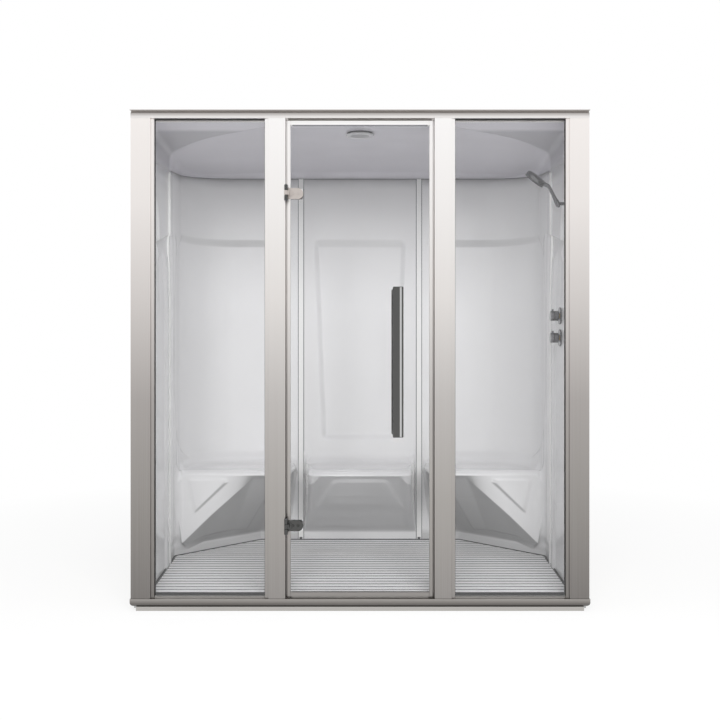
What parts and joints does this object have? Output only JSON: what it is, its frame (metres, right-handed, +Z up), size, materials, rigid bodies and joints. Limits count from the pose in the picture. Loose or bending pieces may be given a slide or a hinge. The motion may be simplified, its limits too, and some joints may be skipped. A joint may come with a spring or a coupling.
{
  "type": "steam sauna cabin",
  "caption": "Walk-in steam cabin with a glazed aluminium front, a hinged glass door, moulded corner seats, a slatted floor and a hand shower.",
  "frame": {"origin": "middle of the bounding box, on the ground", "axes": "+X to the right seen from the front, +Y from the glazed front to the back, +Z up"},
  "size_m": [1.926, 1.258, 2.1],
  "materials": {
    "satin_aluminium": "satin anodised",
    "sill_aluminium": "satin anodised, darker below",
    "clear_glass": "clear toughened",
    "white_acrylic": "moulded, glossy",
    "ceiling_acrylic": "moulded, glossy",
    "joint_strip": "extruded, glossy",
    "slat_aluminium": "ribbed, anodised",
    "bearer_plastic": "moulded",
    "black_rubber": "matt",
    "chrome": "polished",
    "dark_chrome": "polished, dark",
    "chromed_plastic": "chromed moulding",
    "spray_rubber": "moulded",
    "brass": "cast",
    "opal_plastic": "opal",
    "lamp_metal": "painted",
    "frame_aluminium": "mill finish",
    "steel": "plated"
  },
  "bodies": {
    "cabin": {"tray_pan": "white_acrylic", "tray_feet": "bearer_plastic", "drain_body": "bearer_plastic", "drain_grate": "steel", "rear_floor_slats": "slat_aluminium", "rear_floor_bearers": "bearer_plastic", "sill": "sill_aluminium", "sill_base": "sill_aluminium", "header": "satin_aluminium", "header_cap": "satin_aluminium", "left_post": "satin_aluminium", "right_post": "satin_aluminium", "left_mullion": "satin_aluminium", "right_mullion": "satin_aluminium", "left_pane": "clear_glass", "right_pane": "clear_glass", "left_pane_gasket": "black_rubber", "right_pane_gasket": "black_rubber", "upper_hinge_bracket": "dark_chrome", "lower_hinge_bracket": "dark_chrome", "hinge_pins": "chrome", "middle_seat_module": "white_acrylic", "left_corner_module": "white_acrylic", "right_corner_module": "white_acrylic", "left_side_panel": "white_acrylic", "right_side_panel": "white_acrylic", "seam_strips": "joint_strip", "ceiling_shell": "ceiling_acrylic", "lamp_bezel": "chrome", "lamp_lens": "opal_plastic", "lamp_housing": "lamp_metal", "frame_uprights": "frame_aluminium", "frame_rails": "frame_aluminium", "frame_bolts": "steel", "valve_plates": "chrome", "valve_bodies": "brass", "shower_wall_plate": "chrome", "steam_nozzle": "chrome"},
    "door": {"door_glass": "clear_glass", "door_hinge_stile": "satin_aluminium", "door_lock_stile": "satin_aluminium", "door_top_rail": "satin_aluminium", "door_bottom_rail": "satin_aluminium", "door_seal": "black_rubber", "door_sweep": "black_rubber", "upper_hinge_leaf": "chrome", "lower_hinge_leaf": "dark_chrome", "hinge_clamps": "chrome", "hinge_screws": "steel", "outer_handle": "dark_chrome", "inner_handle": "dark_chrome", "handle_standoffs": "chrome"},
    "upper_knob": {"upper_valve_knob": "chrome"},
    "lower_knob": {"lower_valve_knob": "chrome"},
    "holder": {"shower_holder": "chromed_plastic"},
    "hand_shower": {"shower_grip": "chromed_plastic", "shower_head": "chromed_plastic", "spray_plate": "spray_rubber"},
    "floor_grate": {"front_floor_slats": "slat_aluminium", "front_floor_bearers": "bearer_plastic"}
  },
  "joints": [
    {"name": "door_swing", "type": "hinge", "parent": "cabin", "child": "door", "pos_m": [-0.3085, -0.58, 1.05], "axis": [0, 0, -1], "range_deg": [0, 110]},
    {"name": "upper_valve_turn", "type": "hinge", "parent": "cabin", "child": "upper_knob", "pos_m": [0.91735, -0.236, 1.252], "axis": [0.9987, -0.0503, 0], "range_deg": [-90, 90]},
    {"name": "lower_valve_turn", "type": "hinge", "parent": "cabin", "child": "lower_knob", "pos_m": [0.91735, -0.236, 1.152], "axis": [0.9987, -0.0503, 0], "range_deg": [0, 90]},
    {"name": "holder_tilt", "type": "hinge", "parent": "cabin", "child": "holder", "pos_m": [0.91081, -0.366, 1.742], "axis": [0.9987, -0.0503, 0], "range_deg": [-30, 30]},
    {"name": "hand_shower_lift", "type": "slide", "parent": "holder", "child": "hand_shower", "axis": [-0.4378, 0.022, 0.8988], "range_m": [0, 0.1]},
    {"name": "floor_grate_lift", "type": "slide", "parent": "cabin", "child": "floor_grate", "axis": [0, 0, 1], "range_m": [0, 0.3]}
  ]
}
